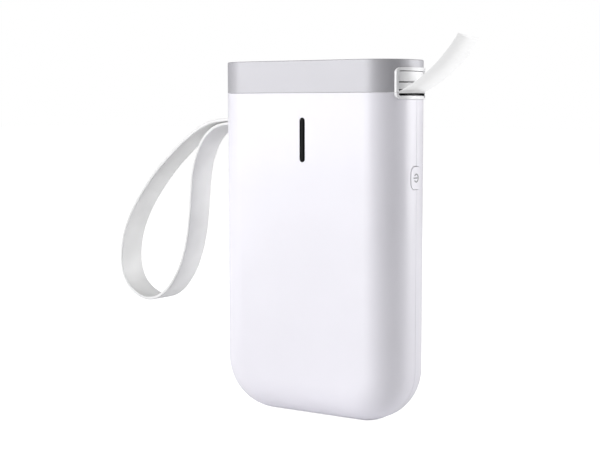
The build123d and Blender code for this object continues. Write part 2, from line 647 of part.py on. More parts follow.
def head_ceramic():
    """Heating plate: its ridge stands under the platen."""
    tile = block(HEAD_LEFT + 0.3, PLATEN_X + 3.5, -HEAD_HALF, HEAD_HALF, HEAD_TOP - 0.6, HEAD_TOP - 0.05)
    return tile + block(PLATEN_X - 0.6, PLATEN_X + 0.6, 0.3 - HEAD_HALF, HEAD_HALF - 0.3, HEAD_TOP - 0.1, HEAD_TOP)


def head_pivot_pin():
    return rod_y(PIVOT_X, PIVOT_Z, PIVOT_RADIUS, -PLATE_OUTER, PLATE_OUTER)


def head_springs():
    group = Part()
    for side in (-1, 1):
        coil = coil_spring(1.5, 0.4, HEAD_PLATE_BOTTOM - WEB_TOP - 0.1, 5)
        group += Pos(SPRING_X, side * SPRING_Y, WEB_TOP + 0.05) * coil
    return group


def paper_motor():
    can = rod_y(MOTOR_X, MOTOR_Z, MOTOR_RADIUS, -PLATE_INNER, -PLATE_INNER + MOTOR_LENGTH)
    can += rod_y(MOTOR_X, MOTOR_Z, 1.45, -PLATE_OUTER + 0.1, -PLATE_INNER)
    cap = rod_y(MOTOR_X, MOTOR_Z, 2.0, -PLATE_INNER + MOTOR_LENGTH, -PLATE_INNER + MOTOR_LENGTH + 0.5)
    return can + cap - rod_y(MOTOR_X, MOTOR_Z, POST_RADIUS + PIN_FIT, -HALF_D, -PLATE_INNER + 6)


PLATEN_PHASE = 0.0
IDLER_PHASE = meshed_phase(PLATEN_PHASE, PLATEN_TEETH, IDLER_TEETH, IDLER_LINE)
PINION_PHASE = meshed_phase(IDLER_PHASE, IDLER_TEETH, SMALL_TEETH, COMPOUND_LINE)
MOTOR_PHASE = meshed_phase(0.0, LARGE_TEETH, SMALL_TEETH, MOTOR_LINE)


def motor_shaft():
    return rod_y(MOTOR_X, MOTOR_Z, POST_RADIUS, DRIVE_IN[0] - 0.1, -PLATE_INNER + 5.5)


def motor_pinion():
    return gear(SMALL_TEETH, MOTOR_PHASE, POST_RADIUS, *DRIVE_IN, MOTOR_X, MOTOR_Z)


def compound_gear():
    bore = POST_RADIUS + PIN_FIT
    wheel = gear(LARGE_TEETH, 0.0, bore, *DRIVE_IN, COMPOUND_X, COMPOUND_Z)
    pinion = gear(SMALL_TEETH, PINION_PHASE, bore, *DRIVE_OUT, COMPOUND_X, COMPOUND_Z)
    hub = rod_y(COMPOUND_X, COMPOUND_Z, 1.9, DRIVE_OUT[0] + 0.5, DRIVE_IN[0] + 0.2)
    return wheel + pinion + (hub - rod_y(COMPOUND_X, COMPOUND_Z, bore, -HALF_D, 0))


def idler_gear():
    return gear(IDLER_TEETH, IDLER_PHASE, POST_RADIUS + PIN_FIT, *DRIVE_OUT, IDLER_X, IDLER_Z)


def head_flex():
    """Flat cable from the head down to its socket on the board."""
    socket_y = BOARD_BACK + 0.9
    bend_z = BOARD_TOP + 6
    outer = [(FLEX_Y + 0.1, HEAD_PLATE_BOTTOM - 0.8), (FLEX_Y + 0.1, bend_z), (socket_y + 0.1, BOARD_TOP + 1.8)]
    outer.append((socket_y + 0.1, BOARD_TOP - 0.8))
    inner = [(socket_y - 0.1, BOARD_TOP - 0.8), (socket_y - 0.1, BOARD_TOP + 1.9)]
    inner += [(FLEX_Y - 0.1, bend_z + 0.1), (FLEX_Y - 0.1, HEAD_PLATE_BOTTOM - 0.8)]
    face = outline_of(outer + inner)
    return Pos(FLEX_LEFT, 0, 0) * extrude(Plane.YZ * face, FLEX_RIGHT - FLEX_LEFT)


# ---- platen in the lid ---------------------------------------------------------------------
def platen_roller():
    outer = rod_y(PLATEN_X, PLATEN_Z, PLATEN_RADIUS, -PLATE_INNER + 0.15, PLATE_INNER - 0.15)
    return outer - rod_y(PLATEN_X, PLATEN_Z, PLATEN_SHAFT_RADIUS, -HALF_D, HALF_D)


def platen_shaft():
    return rod_y(PLATEN_X, PLATEN_Z, PLATEN_SHAFT_RADIUS, DRIVE_OUT[0] - 0.1, PLATE_OUTER + 0.1)


def platen_gear():
    return gear(PLATEN_TEETH, PLATEN_PHASE, PLATEN_SHAFT_RADIUS, *DRIVE_OUT, PLATEN_X, PLATEN_Z)


def platen_bushes():
    group = Part()
    for side in (-1, 1):
        y0 = min(side * PLATE_INNER, side * PLATE_OUTER)
        ring = rod_y(PLATEN_X, PLATEN_Z, 1.9, y0, y0 + PLATE_OUTER - PLATE_INNER)
        group += ring - rod_y(PLATEN_X, PLATEN_Z, PLATEN_SHAFT_RADIUS + PIN_FIT, -HALF_D, HALF_D)
    return group


# ---- lid ------------------------------------------------------------------------------------
def lid_shell():
    outer = slab(0, LID_BOTTOM, BODY_HEIGHT)
    rim = outer.faces().sort_by(Axis.Z)[-1].edges()
    shell = fillet(rim, TOP_EDGE) - slab(WALL, 0, BODY_HEIGHT - LID_TOP_WALL)
    shell += rod_y(HINGE_X, SEAM_Z, HINGE_KNUCKLE_RADIUS, -HINGE_LID_HALF, HINGE_LID_HALF)
    for x, y in LID_SCREWS:
        shell += rod_z(x, y, 1.9, TRAY_TOP, BODY_HEIGHT - LID_TOP_WALL + 0.5)
        shell -= rod_z(x, y, SCREW_RADIUS, TRAY_TOP - 1, BODY_HEIGHT - 0.9)
    for side in (-1, 1):
        y0 = min(side * (HINGE_LID_HALF + 0.01), side * (HINGE_HALF + 0.15))
        y1 = max(side * (HINGE_LID_HALF + 0.01), side * (HINGE_HALF + 0.15))
        shell -= rod_y(HINGE_X, SEAM_Z, HINGE_KNUCKLE_RADIUS + 0.2, y0, y1)
    shell -= rod_y(HINGE_X, SEAM_Z, HINGE_PIN_RADIUS + PIN_FIT, -HINGE_HALF, HINGE_HALF)
    return shell - outlet_bar(BEZEL_WIDTH + 0.05, DECK_SCREW_X - 3, HALF_W + 5)


def hinge_pin():
    return rod_y(HINGE_X, SEAM_Z, HINGE_PIN_RADIUS, -HINGE_HALF, HINGE_HALF)


def lid_tray():
    """Inner frame of the lid: a plate under its top and two cheeks for the platen."""
    tray = slab(WALL + SEAT, TRAY_BOTTOM, TRAY_TOP)
    tray -= rod_y(PLATEN_X, PLATEN_Z, PLATEN_RADIUS + 0.35, -PLATE_OUTER - 3.2, PLATE_OUTER + 1)
    for side in (-1, 1):
        y0 = min(side * PLATE_INNER, side * PLATE_OUTER)
        y1 = max(side * PLATE_INNER, side * PLATE_OUTER)
        cheek = block(PLATEN_X - 4, PLATEN_X + 4, y0, y1, LID_BOTTOM + 0.6, TRAY_BOTTOM + 0.2)
        tray += cheek - rod_y(PLATEN_X, PLATEN_Z, 1.9, -HALF_D, HALF_D)
    tray += block(
        RELEASE_SPRING_LEFT - 1.4, RELEASE_SPRING_LEFT, RELEASE_SPRING_Y - 0.95,
        RELEASE_SPRING_Y + 0.95, BLOCK_BOTTOM, TRAY_BOTTOM + 0.2,
    )
    for x, y in LID_SCREWS:
        tray -= rod_z(x, y, SCREW_RADIUS + 0.1, TRAY_BOTTOM - 1, TRAY_TOP + 1)
    return tray


def lid_screws():
    group = Part()
    for x, y in LID_SCREWS:
        group += Pos(x, y, TRAY_BOTTOM - 0.9) * Rot(180, 0, 0) * lid_screw()
    return group


def lid_screw():
    head = Pos(0, 0, -0.45) * Cylinder(1.7, 0.9)
    shank = Pos(0, 0, -0.9 - 1.45) * Cylinder(SCREW_RADIUS, 2.9)
    return head + shank - (Box(2.0, 0.4, 0.8) + Box(0.4, 2.0, 0.8))


def outlet_bezel():
    return outlet_ring() & outside_z(LID_BOTTOM, BODY_HEIGHT)


def outlet_guide():
    """White bar that holds the strip down just before it leaves."""
    half = OUTLET_DEPTH / 2 - 0.05
    bar = block(CATCH_RIGHT + 0.1, HALF_W + 1, -half, half, GUIDE_BOTTOM, GUIDE_TOP)
    return bar & slab(0.5, 0, BODY_HEIGHT)


def release_button():
    """Push block in the outlet, with two hooks that hold the lid to the deck."""
    half = OUTLET_DEPTH / 2 - 0.2
    face = block(CATCH_RIGHT + 0.8, HALF_W + 1, -half, half, BLOCK_BOTTOM, BLOCK_TOP) & slab(0.1, 0, BODY_HEIGHT)
    inner = slab(1.0, 0, BODY_HEIGHT)
    face = fillet([edge for edge in face.edges() if not inner.is_inside(edge.center())], BLOCK_EDGE)
    bridge = block(CATCH_LEFT, CATCH_RIGHT + 1, -PLATE_OUTER, PLATE_OUTER, BLOCK_BOTTOM + 0.2, BLOCK_TOP - 0.2)
    button = face + bridge
    for side in (-1, 1):
        y0 = min(side * PLATE_INNER, side * PLATE_OUTER)
        y1 = max(side * PLATE_INNER, side * PLATE_OUTER)
        button += block(CATCH_LEFT, CATCH_RIGHT, y0, y1, DECK_BOTTOM - 1.5, BLOCK_BOTTOM + 0.3)
        button += block(CATCH_RIGHT - 0.1, CATCH_NOSE, y0, y1, DECK_BOTTOM - 1.5, DECK_BOTTOM - 0.3)
    button += block(
        CATCH_LEFT, CATCH_LEFT + 1.2, PLATE_OUTER - 0.2, RELEASE_SPRING_Y + 0.6,
        BLOCK_BOTTOM + 0.6, BLOCK_TOP - 0.2,
    )
    return button


def release_spring():
    coil = coil_spring(0.8, 0.25, CATCH_LEFT - RELEASE_SPRING_LEFT - 0.1, 6)
    return Pos(RELEASE_SPRING_LEFT + 0.05, RELEASE_SPRING_Y, BLOCK_BOTTOM + 1.8) * Rot(0, 90, 0) * coil


# ---- controls --------------------------------------------------------------------------------
def power_button():
    skin = slab(-0.15, 0, BODY_TOP)
    cap = key_x(-POWER_RIM, HALF_W - 2.9, HALF_W + 2)
    flange = key_x(0.7, HALF_W - 2.9, HALF_W - 2.2)
    stem = rod_x(0, POWER_BUTTON_Z, 1.0, SWITCH_TIP + 0.05 + POWER_TRAVEL, HALF_W - 2.5)
    return (cap & skin) + flange + stem


def tact_switch():
    body = block(SWITCH_TIP - 2.5, SWITCH_TIP - 0.6, -3, 3, POWER_BUTTON_Z - 3, POWER_BUTTON_Z + 3)
    return body + rod_x(0, POWER_BUTTON_Z, 1.5, SWITCH_TIP - 1, SWITCH_TIP)


def switch_board():
    return block(SWITCH_TIP - 3.3, SWITCH_TIP - 2.5, -5, 5, POWER_BUTTON_Z - 6, POWER_BUTTON_Z + 6)


def indicator_lens():
    """Window with a gently rounded front that ends just proud of the case."""
    lens = pill_y(
        INDICATOR_X, INDICATOR_Z, INDICATOR_WIDTH - SEAT, INDICATOR_HEIGHT - SEAT,
        -HALF_D - 0.2, -HALF_D + WALL + 0.5,
    )
    dome_y = -HALF_D - 0.2 + INDICATOR_DOME
    lens &= rod_z(INDICATOR_X, dome_y, INDICATOR_DOME, 0, BODY_HEIGHT) + block(
        INDICATOR_X - 3, INDICATOR_X + 3, dome_y, 0, 0, BODY_HEIGHT
    )
    flange = pill_y(
        INDICATOR_X, INDICATOR_Z, INDICATOR_WIDTH + 2, INDICATOR_HEIGHT + 2,
        -HALF_D + WALL + 0.02, -HALF_D + WALL + 0.6,
    )
    return lens + flange


def led_board():
    return block(
        INDICATOR_X - 4, INDICATOR_X + 4, LED_BOARD_FRONT, LED_BOARD_FRONT + 0.8,
        LED_POSTS[0] - 2, LED_POSTS[1] + 2,
    )


def status_leds():
    group = Part()
    for offset in (-4.5, 0.0, 4.5):
        z = INDICATOR_Z + offset
        group += block(INDICATOR_X - 0.8, INDICATOR_X + 0.8, LED_BOARD_FRONT - 0.5, LED_BOARD_FRONT, z - 0.8, z + 0.8)
    return group


# ---- battery, board and socket -----------------------------------------------------------------
def battery():
    cell = block(
        -BATTERY_WIDTH / 2, BATTERY_WIDTH / 2, BATTERY_FRONT, BATTERY_BACK, BATTERY_Z, BATTERY_TOP
    )
    return fillet(cell.edges().filter_by(Axis.Z), 2.5)


def battery_tape():
    return block(
        -BATTERY_WIDTH / 2 + 8, BATTERY_WIDTH / 2 - 8, -HALF_D + WALL, BATTERY_FRONT,
        BATTERY_Z + 4, BATTERY_TOP - 4,
    )


def battery_lead():
    """Two wires from the cell's top edge to their plug."""
    group = Part()
    middle = (BATTERY_FRONT + BATTERY_BACK) / 2
    for side in (-1, 1):
        x = LEAD_X + side
        path = FilletPolyline(
            (x, middle, BATTERY_TOP), (x, middle, LEAD_Z), (x, BOARD_FRONT - 3.2, LEAD_Z), radius=2.0
        )
        group += sweep(Plane(origin=path @ 0, z_dir=path % 0) * Circle(0.5), path=path)
    return group


def battery_plug():
    return block(LEAD_X - 2.8, LEAD_X + 2.8, BOARD_FRONT - 3.2, BOARD_FRONT, LEAD_Z - 1.7, LEAD_Z + 1.7)


def main_board():
    board = block(BOARD_LEFT, BOARD_RIGHT, BOARD_FRONT, BOARD_BACK, BOARD_BOTTOM, BOARD_TOP)
    for x, z in BOARD_SCREWS:
        board -= rod_y(x, z, SCREW_RADIUS + 0.1, BOARD_FRONT - 1, BOARD_BACK + 1)
    return board


def board_chips():
    """Processor, motor driver, charger and coil on the board's back."""
    group = Part()
    for x, z, width, height, rise in (
        (-6, 40, 9, 9, 1.0), (12, 48, 6, 6, 1.0), (-20, 36, 4, 4, 0.9), (-20, 46, 5, 5, 2.4), (8, 32, 5, 4, 0.8)
    ):
        group += block(x - width / 2, x + width / 2, BOARD_BACK, BOARD_BACK + rise, z - height / 2, z + height / 2)
    return group


def flex_socket():
    body = block(FLEX_LEFT - 1, FLEX_RIGHT + 0.8, BOARD_BACK, BOARD_BACK + 1.8, BOARD_TOP - 5, BOARD_TOP - 0.8)
    return body


def usb_socket():
    """Pressed steel shell of the charging socket, open towards the left."""
    x0 = -HALF_W + 0.5
    outer = pill_x(0, USB_Z, USB_THICKNESS, USB_WIDTH, x0, x0 + USB_DEPTH)
    return outer - pill_x(0, USB_Z, USB_THICKNESS - 0.6, USB_WIDTH - 0.6, x0 - 1, x0 + USB_DEPTH - 1.0)


def usb_tongue():
    x0 = -HALF_W + 1.2
    return block(x0, -HALF_W + USB_DEPTH - 0.5, -0.35, 0.35, USB_Z - 3.3, USB_Z + 3.3)


def case_screws():
    group = Part()
    for x, z in CASE_SCREWS:
        group += Pos(x, SCREW_HEAD_Y, z) * Rot(-90, 0, 0) * screw(SCREW_HEAD_Y - SCREW_HEAD_HEIGHT + 6)
    return group


def board_screws():
    group = Part()
    for x, z in BOARD_SCREWS:
        group += Pos(x, BOARD_FRONT - SCREW_HEAD_HEIGHT, z) * Rot(90, 0, 0) * screw(6)
    return group


def frame_screws():
    group = Part()
    for x, z in FRAME_SCREWS:
        group += Pos(x, PLATE_INNER - SCREW_HEAD_HEIGHT, z) * Rot(90, 0, 0) * screw(4)
    return group


# ---- wrist strap --------------------------------------------------------------------------------
def strap_anchor():
    """Moulded end that both ends of the strap run into, wider than its slot."""
    low = STRAP_SLOT_Z - ANCHOR_HEIGHT / 2
    high = STRAP_SLOT_Z + ANCHOR_HEIGHT / 2
    end = block(ANCHOR_LEFT, ANCHOR_RIGHT, -ANCHOR_HALF, ANCHOR_HALF, low, high)
    return end & slab(WALL + SEAT, 0, BODY_TOP)


def strap_radii(points):
    """Radius at each corner: as large as its two runs allow."""
    radii = []
    for before, corner, after in zip(points, points[1:], points[2:]):
        into = Vector(*corner) - Vector(*before)
        out = Vector(*after) - Vector(*corner)
        half_turn = math.radians(into.get_angle(out)) / 2
        radii.append(0.45 * min(into.length, out.length) / math.tan(half_turn))
    return radii


def strap():
    """Flat loop that leaves the left side through one slot and comes back to it."""
    points = [(-HALF_W - out, 0, z) for out, z in STRAP_ROUTE]
    radii = strap_radii(points)
    print("strap radii", [round(radius, 1) for radius in radii])
    path = FilletPolyline(*points, radius=radii)
    section = Plane(origin=path @ 0, x_dir=(0, 1, 0), z_dir=path % 0) * Rectangle(STRAP_WIDTH, STRAP_THICKNESS)
    band = sweep(section, path=path)
    print("strap length", round(path.length, 1), "volume ratio",
          round(band.volume / (STRAP_WIDTH * STRAP_THICKNESS * path.length), 4))
    return band


# ---- files ------------------------------------------------------------------------------------------
PIECES = [
    front_shell, back_shell, outlet_lip, tear_bar, label_bay, gap_sensor, deck_screws, case_screws,
    mechanism_frame, gear_clips, guide_rod, head_pivot_pin, head_springs, paper_motor, motor_shaft,
    motor_pinion, compound_gear, idler_gear, frame_screws, head_flex, flex_socket, print_head, head_ceramic,
    label_roll, roll_core, label_strip, lid_shell, hinge_pin, lid_tray, lid_screws, outlet_bezel,
    outlet_guide, release_button, release_spring, platen_roller, platen_shaft, platen_gear, platen_bushes,
    power_button, tact_switch, switch_board, indicator_lens, led_board, status_leds, battery,
    battery_tape, battery_lead, battery_plug, main_board, board_chips, board_screws, usb_socket,
    usb_tongue, strap_anchor, strap,
]

for piece in PIECES:
    save(piece.__name__, piece())
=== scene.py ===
"""Looks of a pocket thermal label printer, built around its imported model."""
import json
import math

import bmesh
import bpy
from mathutils import Matrix, Vector


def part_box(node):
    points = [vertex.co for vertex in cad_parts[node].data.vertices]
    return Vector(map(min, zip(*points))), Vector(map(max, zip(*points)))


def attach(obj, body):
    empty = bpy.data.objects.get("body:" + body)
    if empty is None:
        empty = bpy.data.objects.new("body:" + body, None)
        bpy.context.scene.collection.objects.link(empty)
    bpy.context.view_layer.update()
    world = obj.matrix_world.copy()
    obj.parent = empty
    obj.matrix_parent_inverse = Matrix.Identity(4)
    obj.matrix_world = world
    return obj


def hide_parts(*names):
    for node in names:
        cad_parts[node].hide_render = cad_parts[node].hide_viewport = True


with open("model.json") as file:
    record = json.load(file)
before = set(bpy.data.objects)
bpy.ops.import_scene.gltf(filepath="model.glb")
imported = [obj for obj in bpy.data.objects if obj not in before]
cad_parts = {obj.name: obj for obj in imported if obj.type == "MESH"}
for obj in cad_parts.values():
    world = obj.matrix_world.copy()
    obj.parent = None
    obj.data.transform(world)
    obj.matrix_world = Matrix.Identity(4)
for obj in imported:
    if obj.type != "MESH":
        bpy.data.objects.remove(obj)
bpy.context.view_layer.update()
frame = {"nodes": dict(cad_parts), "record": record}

bl_info = {
    "name": "Pocket label printer",
    "version": (1, 0, 0),
    "blender": (4, 5, 0),
    "location": "View3D > Sidebar > Printer",
    "description": "Strap, label, marks and finishes of a hand-held label printer",
    "category": "Object",
}

MM = 0.001
NODES = frame["nodes"]

# Light from all round, as the pieces see it; the camera sees a white background.
AMBIENT = 0.12
SEEN_BACKGROUND = 1.0
SEEN_FLOOR = 0.9
LIGHT_AIM = (0.0, 0.0, 0.07)

CAMERA_PLACE = (0.27618, -0.41546, 0.11239)
CAMERA_TURN = 33.61
CAMERA_DIP = 5.478
CAMERA_SHIFT = (-0.0387, 0.0233)

# Depth of the relief in the surface of a finish.
FINE_RELIEF = 0.00002
COARSE_RELIEF = 0.00003

# Middle line of the strap: millimetres from the middle of the case, and height.
STRAP_ROUTE = [
    (-36.6, 108.1), (-43.6, 108.1), (-51.0, 106.2), (-58.8, 101.6), (-66.6, 95.4),
    (-74.6, 88.3), (-81.8, 80.2), (-87.9, 71.8), (-92.3, 62.8), (-94.0, 53.4),
    (-93.0, 45.8), (-88.8, 39.9), (-80.4, 36.2), (-71.9, 39.2), (-65.4, 46.8),
    (-61.4, 55.4), (-59.0, 65.0), (-57.8, 76.4), (-56.9, 87.2), (-54.6, 95.3),
    (-50.4, 102.2), (-43.6, 106.7), (-36.6, 106.7),
]
STRAP_WIDTH = 0.012

# The strip of labels keeps this gap to the guide rod, and runs level this far before it curls.
ROD_GAP = 0.0001
LEVEL_RUN = 0.004

# Depth of the step between two wound layers, on the ends of the roll.
LAYER_STEP = 0.00012
LAYERS = 26

MARK_RING = 0.00135
MARK_STROKE = 0.00048
MARK_RISE = 0.00006
MARK_GAP = 34.0
MARK_BAR = 0.0026
MARK_BAR_Y = -0.0005


# ---- settings ---------------------------------------------------------------
def length_setting(name, description, default):
    return bpy.props.FloatProperty(
        name=name, description=description, default=default, subtype="DISTANCE", unit="LENGTH", precision=5
    )


def colour_setting(name, description, default):
    return bpy.props.FloatVectorProperty(
        name=name, description=description, default=default, subtype="COLOR", size=3, min=0.0, max=1.0
    )


def number_setting(name, description, default):
    return bpy.props.FloatProperty(name=name, description=description, default=default)


class PrinterCaseSettings(bpy.types.PropertyGroup):
    white: colour_setting("Body white", "Colour of the two body shells", (0.872, 0.858, 0.918))
    grey: colour_setting("Lid grey", "Colour of the flip-up lid", (0.50, 0.495, 0.525))
    lens: colour_setting("Lens", "Colour of the indicator's window", (0.006, 0.006, 0.007))
    mark: colour_setting("Power mark", "Colour of the mark on the power button", (0.36, 0.36, 0.38))


class PrinterStrapSettings(bpy.types.PropertyGroup):
    width: length_setting("Width", "Width of the flat strap", STRAP_WIDTH)
    thickness: length_setting("Thickness", "Thickness of the flat strap", 0.0012)
    edge: length_setting("Edge", "Rounding of the strap's long edges", 0.00035)
    colour: colour_setting("Colour", "Colour of the soft strap", (0.84, 0.84, 0.84))


class PrinterLabelSettings(bpy.types.PropertyGroup):
    width: length_setting("Width", "Width of the label web", 0.015)
    thickness: length_setting("Thickness", "Thickness of label and liner together", 0.00015)
    curl_start: length_setting("Curl start", "Start of the free curl, from the middle of the case", 0.0344)
    curl: length_setting("Curl", "Radius of the first, tight curl", 0.0101)
    curl_turn: number_setting("Curl turn", "Turn of the tight curl in degrees", 27.4)
    tail: length_setting("Tail", "Radius of the wide curl after it", 0.0525)
    tail_turn: number_setting("Tail turn", "Turn of the wide curl in degrees", 29.4)
    skew: number_setting("Skew", "Lean of the curl's axis in degrees", 6.0)
    # Mid grey: this colour is also the paper's painted glow, which lifts the paper to white.
    colour: colour_setting("Colour", "Colour of the label paper", (0.50, 0.50, 0.50))


class PrinterStageSettings(bpy.types.PropertyGroup):
    floor: colour_setting("Floor", "Colour of the pale floor", (0.93, 0.93, 0.94))
    key_power: number_setting("Key", "Power of the large front light in watts", 11.7)
    side_power: number_setting("Side", "Power of the light at the right and back in watts", 7.9)
    lens: number_setting("Lens", "Focal length in millimetres", 81.8)


SETTINGS = {
    "printer_case": PrinterCaseSettings,
    "printer_strap": PrinterStrapSettings,
    "printer_label": PrinterLabelSettings,
    "printer_stage": PrinterStageSettings,
}


# ---- materials --------------------------------------------------------------
def shade(colour, factor):
    return tuple(min(1.0, value * factor) for value in colour) + (1.0,)


def new_material(name):
    material = bpy.data.materials.new(name)
    material.use_nodes = True
    tree = material.node_tree
    bsdf = tree.nodes["Principled BSDF"]
    coordinates = tree.nodes.new("ShaderNodeTexCoord")
    return material, tree, bsdf, coordinates.outputs["Object"]


def noise(tree, coordinates, scale, detail=2.0):
    node = tree.nodes.new("ShaderNodeTexNoise")
    node.inputs["Scale"].default_value = scale
    node.inputs["Detail"].default_value = detail
    tree.links.new(coordinates, node.inputs["Vector"])
    return node.outputs["Fac"]


def two_tone(tree, factor, low, high, start=0.35, end=0.65):
    ramp = tree.nodes.new("ShaderNodeValToRGB")
    ramp.color_ramp.elements[0].position = start
    ramp.color_ramp.elements[0].color = low
    ramp.color_ramp.elements[1].position = end
    ramp.color_ramp.elements[1].color = high
    tree.links.new(factor, ramp.inputs["Fac"])
    return ramp.outputs["Color"]


def spread(tree, factor, low, high):
    node = tree.nodes.new("ShaderNodeMapRange")
    node.inputs["To Min"].default_value = low
    node.inputs["To Max"].default_value = high
    tree.links.new(factor, node.inputs["Value"])
    return node.outputs["Result"]


def tinted(tree, bsdf, factor, colour, low, high):
    """Base colour that wanders between a darker and a lighter share of one colour."""
    tones = two_tone(tree, factor, shade(colour, low), shade(colour, high))
    tree.links.new(tones, bsdf.inputs["Base Color"])


def roughened(tree, bsdf, factor, low, high):
    tree.links.new(spread(tree, factor, low, high), bsdf.inputs["Roughness"])


def bumped(tree, bsdf, height, strength, distance):
    bump = tree.nodes.new("ShaderNodeBump")
    bump.inputs["Strength"].default_value = strength
    bump.inputs["Distance"].default_value = distance
    tree.links.new(height, bump.inputs["Height"])
    tree.links.new(bump.outputs["Normal"], bsdf.inputs["Normal"])


def moulded_plastic(name, colour, roughness, grain=2600.0, depth=0.12, coat=0.0, pearl=0.0):
    """Injection-moulded plastic: spark-eroded grain, a faint flow in its tone, and pearl in some."""
    material, tree, bsdf, place = new_material(name)
    flow = noise(tree, place, 22.0)
    tinted(tree, bsdf, flow, colour, 0.975, 1.01)
    fine = noise(tree, place, grain, 3.0)
    roughened(tree, bsdf, fine, roughness - 0.05, roughness + 0.05)
    bumped(tree, bsdf, fine, depth, FINE_RELIEF)
    bsdf.inputs["Coat Weight"].default_value = coat
    bsdf.inputs["Coat Roughness"].default_value = 0.08
    bsdf.inputs["Metallic"].default_value = pearl
    return material


def metal(name, colour, roughness, stretch):
    """Drawn or ground metal with fine lines along one way."""
    material, tree, bsdf, place = new_material(name)
    mapping = tree.nodes.new("ShaderNodeMapping")
    mapping.inputs["Scale"].default_value = stretch
    tree.links.new(place, mapping.inputs["Vector"])
    lines = noise(tree, mapping.outputs["Vector"], 900.0, 4.0)
    tinted(tree, bsdf, lines, colour, 0.82, 1.06)
    roughened(tree, bsdf, lines, roughness - 0.07, roughness + 0.1)
    bumped(tree, bsdf, lines, 0.12, FINE_RELIEF)
    bsdf.inputs["Metallic"].default_value = 1.0
    return material


def rubber(name, colour, roughness):
    """Ground or moulded elastomer, dull with a fine tooth."""
    material, tree, bsdf, place = new_material(name)
    tooth = noise(tree, place, 3200.0, 4.0)
    tone = noise(tree, place, 60.0)
    tinted(tree, bsdf, tone, colour, 0.93, 1.02)
    roughened(tree, bsdf, tooth, roughness - 0.06, roughness + 0.08)
    bumped(tree, bsdf, tooth, 0.2, COARSE_RELIEF)
    bsdf.inputs["Sheen Weight"].default_value = 0.12
    bsdf.inputs["Sheen Roughness"].default_value = 0.5
    return material


def paper_with_painted_glow(name, colour):
    """Smooth thermal paper with cloudy fibres: a mid-grey base, lifted to white by painted light, an even
    glow from the paper itself.
    """
    material, tree, bsdf, place = new_material(name)
    fibre = noise(tree, place, 1500.0, 5.0)
    cloud = noise(tree, place, 140.0)
    tinted(tree, bsdf, cloud, colour, 0.97, 1.02)
    roughened(tree, bsdf, fibre, 0.48, 0.62)
    bumped(tree, bsdf, fibre, 0.15, FINE_RELIEF)
    # Painted light: the paper glows in its own colour. The glow stands in for the light the paper catches
    # and lets through.
    bsdf.inputs["Emission Color"].default_value = (*colour, 1.0)
    bsdf.inputs["Emission Strength"].default_value = 1.0
    return material


def gloss_window(name, colour):
    """Black window: polished, with a faint moulded ripple."""
    material, tree, bsdf, place = new_material(name)
    ripple = noise(tree, place, 180.0)
    tinted(tree, bsdf, ripple, colour, 0.8, 1.3)
    roughened(tree, bsdf, ripple, 0.05, 0.09)
    bumped(tree, bsdf, ripple, 0.04, FINE_RELIEF)
    bsdf.inputs["Specular IOR Level"].default_value = 0.04
    return material


def circuit_board(name):
    """Green lacquer over copper: tracks show as a faint raised maze."""
    material, tree, bsdf, place = new_material(name)
    tracks = tree.nodes.new("ShaderNodeTexVoronoi")
    tracks.distance = "MANHATTAN"
    tracks.inputs["Scale"].default_value = 420.0
    tree.links.new(place, tracks.inputs["Vector"])
    distance = tracks.outputs["Distance"]
    colours = two_tone(tree, distance, (0.01, 0.10, 0.04, 1), (0.02, 0.20, 0.08, 1), 0.3, 0.36)
    tree.links.new(colours, bsdf.inputs["Base Color"])
    roughened(tree, bsdf, distance, 0.18, 0.32)
    bumped(tree, bsdf, distance, 0.2, COARSE_RELIEF)
    return material


def make_finishes(case, strap, label):
    """One material for each slot of the record."""
    return {
        "white_shell": moulded_plastic("white_shell", case.white, 0.36, coat=0.12),
        # Whiter than the body's white: partly the outlet parts' own white, partly painted light that lifts
        # them out of the outlet's shade.
        "outlet_white": moulded_plastic("outlet_white", (0.93, 0.93, 0.94), 0.36, coat=0.12),
        "grey_lid": moulded_plastic("grey_lid", case.grey, 0.46, coat=0.04, pearl=0.22),
        "inner_plastic": moulded_plastic("inner_plastic", (0.10, 0.10, 0.11), 0.5, 1800.0, 0.25),
        "nylon": moulded_plastic("nylon", (0.78, 0.76, 0.69), 0.42, 1400.0, 0.15),
        "steel": metal("steel", (0.62, 0.63, 0.65), 0.28, (1.0, 0.05, 1.0)),
        "brass": metal("brass", (0.80, 0.58, 0.26), 0.25, (1.0, 0.05, 1.0)),
        "motor_can": metal("motor_can", (0.55, 0.56, 0.58), 0.3, (1.0, 0.05, 1.0)),
        "rubber": rubber("rubber", (0.02, 0.02, 0.022), 0.6),
        "aluminium": metal("aluminium", (0.78, 0.79, 0.81), 0.32, (0.05, 1.0, 1.0)),
        "ceramic": moulded_plastic("ceramic", (0.80, 0.76, 0.68), 0.15, 2400.0, 0.05, 0.4),
        "paper": paper_with_painted_glow("paper", label.colour),
        "cardboard": moulded_plastic("cardboard", (0.36, 0.25, 0.15), 0.8, 900.0, 0.5),
        "board": circuit_board("board"),
        "black_parts": gloss_window("black_parts", case.lens),
        "led": moulded_plastic("led", (0.85, 0.84, 0.60), 0.15, 2000.0, 0.03, 0.5),
        "flex": moulded_plastic("flex", (0.42, 0.19, 0.03), 0.2, 1200.0, 0.08, 0.4),
        "battery_wrap": metal("battery_wrap", (0.60, 0.62, 0.66), 0.34, (1.0, 1.0, 0.2)),
        "foam": rubber("foam", (0.05, 0.05, 0.055), 0.85),
        "wire": rubber("wire", (0.45, 0.02, 0.015), 0.42),
        "strap_rubber": rubber("strap_rubber", strap.colour, 0.46),
    }


FINISHES = {}


def finish_of(slot_name):
    """The material of a slot, made the first time that it is asked for."""
    if not FINISHES:
        scene = bpy.context.scene
        FINISHES.update(make_finishes(scene.printer_case, scene.printer_strap, scene.printer_label))
    return FINISHES[slot_name]


def dress(piece, material):
    piece.data.materials.clear()
    piece.data.materials.append(material)


